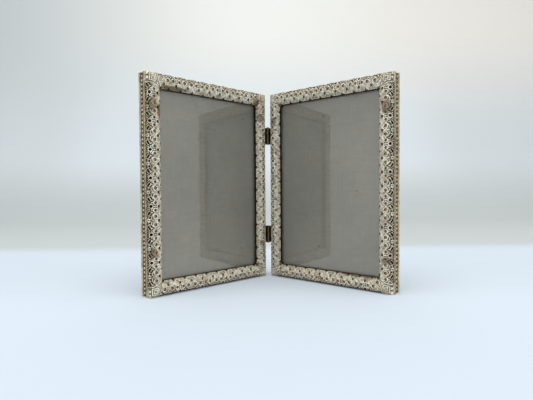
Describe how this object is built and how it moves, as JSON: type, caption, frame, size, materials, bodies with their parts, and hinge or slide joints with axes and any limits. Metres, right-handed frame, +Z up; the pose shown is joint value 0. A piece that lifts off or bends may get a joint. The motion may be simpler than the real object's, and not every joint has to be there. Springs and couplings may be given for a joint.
{
  "type": "hinged double photo frame",
  "caption": "Two upright picture frames with pierced cream and gilt mouldings, joined edge to edge by small hinges so that they stand in a V and fold face to face.",
  "frame": {"origin": "centre of the bounding box's base, on the table between the two panels", "axes": "+X to the viewer's right across the pair, +Y away from the viewer towards the hinges, +Z up along the hinge pins"},
  "size_m": [0.2092, 0.0938, 0.178],
  "materials": {
    "ivory_enamel": "satin, worn to gilt in the recesses",
    "gilt_metal": "satin gilt, tarnished",
    "aged_brass": "aged",
    "clear_glass": "polished",
    "grey_card": "matt paper card",
    "brown_board": "matt board",
    "dark_velvet": "napped"
  },
  "bodies": {
    "left_panel": {"left_top_rail": "ivory_enamel", "left_bottom_rail": "ivory_enamel", "left_outer_stile": "ivory_enamel", "left_hinge_stile": "ivory_enamel", "left_corner_straps": "ivory_enamel", "left_bead_strips": "gilt_metal", "left_liner": "gilt_metal", "left_back_ring": "gilt_metal", "left_glass": "clear_glass", "left_picture_card": "grey_card", "left_filler_card": "brown_board", "left_back_board": "brown_board", "left_back_cloth": "dark_velvet", "left_button_rivets": "aged_brass", "upper_left_leaf": "aged_brass", "upper_pin": "gilt_metal", "lower_left_leaf": "aged_brass", "lower_pin": "gilt_metal", "left_hinge_rivets": "gilt_metal"},
    "right_panel": {"right_top_rail": "ivory_enamel", "right_bottom_rail": "ivory_enamel", "right_outer_stile": "ivory_enamel", "right_hinge_stile": "ivory_enamel", "right_corner_straps": "ivory_enamel", "right_bead_strips": "gilt_metal", "right_liner": "gilt_metal", "right_back_ring": "gilt_metal", "right_glass": "clear_glass", "right_picture_card": "grey_card", "right_filler_card": "brown_board", "right_back_board": "brown_board", "right_back_cloth": "dark_velvet", "right_button_rivets": "aged_brass", "upper_right_leaf": "aged_brass", "lower_right_leaf": "aged_brass", "right_hinge_rivets": "gilt_metal"},
    "left_top_button": {"left_top_button": "aged_brass"},
    "left_bottom_button": {"left_bottom_button": "aged_brass"},
    "left_outer_button": {"left_outer_button": "aged_brass"},
    "left_hinge_button": {"left_hinge_button": "aged_brass"},
    "right_top_button": {"right_top_button": "aged_brass"},
    "right_bottom_button": {"right_bottom_button": "aged_brass"},
    "right_outer_button": {"right_outer_button": "aged_brass"},
    "right_hinge_button": {"right_hinge_button": "aged_brass"}
  },
  "joints": [
    {"name": "panel_fold", "type": "hinge", "parent": "left_panel", "child": "right_panel", "pos_m": [0, 0.03634, 0.089], "axis": [0, 0, 1], "range_deg": [-96, 84]},
    {"name": "left_top_button_turn", "type": "hinge", "parent": "left_panel", "child": "left_top_button", "pos_m": [-0.05606, 0.00295, 0.17215], "axis": [-0.6691, 0.7431, 0], "range_deg": [-90, 90]},
    {"name": "left_bottom_button_turn", "type": "hinge", "parent": "left_panel", "child": "left_bottom_button", "pos_m": [-0.05606, 0.00295, 0.00585], "axis": [-0.6691, 0.7431, 0], "range_deg": [-90, 90]},
    {"name": "left_outer_button_turn", "type": "hinge", "parent": "left_panel", "child": "left_outer_button", "pos_m": [-0.0989, -0.03563, 0.089], "axis": [-0.6691, 0.7431, 0], "range_deg": [-90, 90]},
    {"name": "left_hinge_button_turn", "type": "hinge", "parent": "left_panel", "child": "left_hinge_button", "pos_m": [-0.01322, 0.04152, 0.089], "axis": [-0.6691, 0.7431, 0], "range_deg": [-90, 90]},
    {"name": "right_top_button_turn", "type": "hinge", "parent": "right_panel", "child": "right_top_button", "pos_m": [0.05606, 0.00295, 0.17215], "axis": [0.6691, 0.7431, 0], "range_deg": [-90, 90]},
    {"name": "right_bottom_button_turn", "type": "hinge", "parent": "right_panel", "child": "right_bottom_button", "pos_m": [0.05606, 0.00295, 0.00585], "axis": [0.6691, 0.7431, 0], "range_deg": [-90, 90]},
    {"name": "right_outer_button_turn", "type": "hinge", "parent": "right_panel", "child": "right_outer_button", "pos_m": [0.0989, -0.03563, 0.089], "axis": [0.6691, 0.7431, 0], "range_deg": [-90, 90]},
    {"name": "right_hinge_button_turn", "type": "hinge", "parent": "right_panel", "child": "right_hinge_button", "pos_m": [0.01322, 0.04152, 0.089], "axis": [0.6691, 0.7431, 0], "range_deg": [-90, 90]}
  ]
}
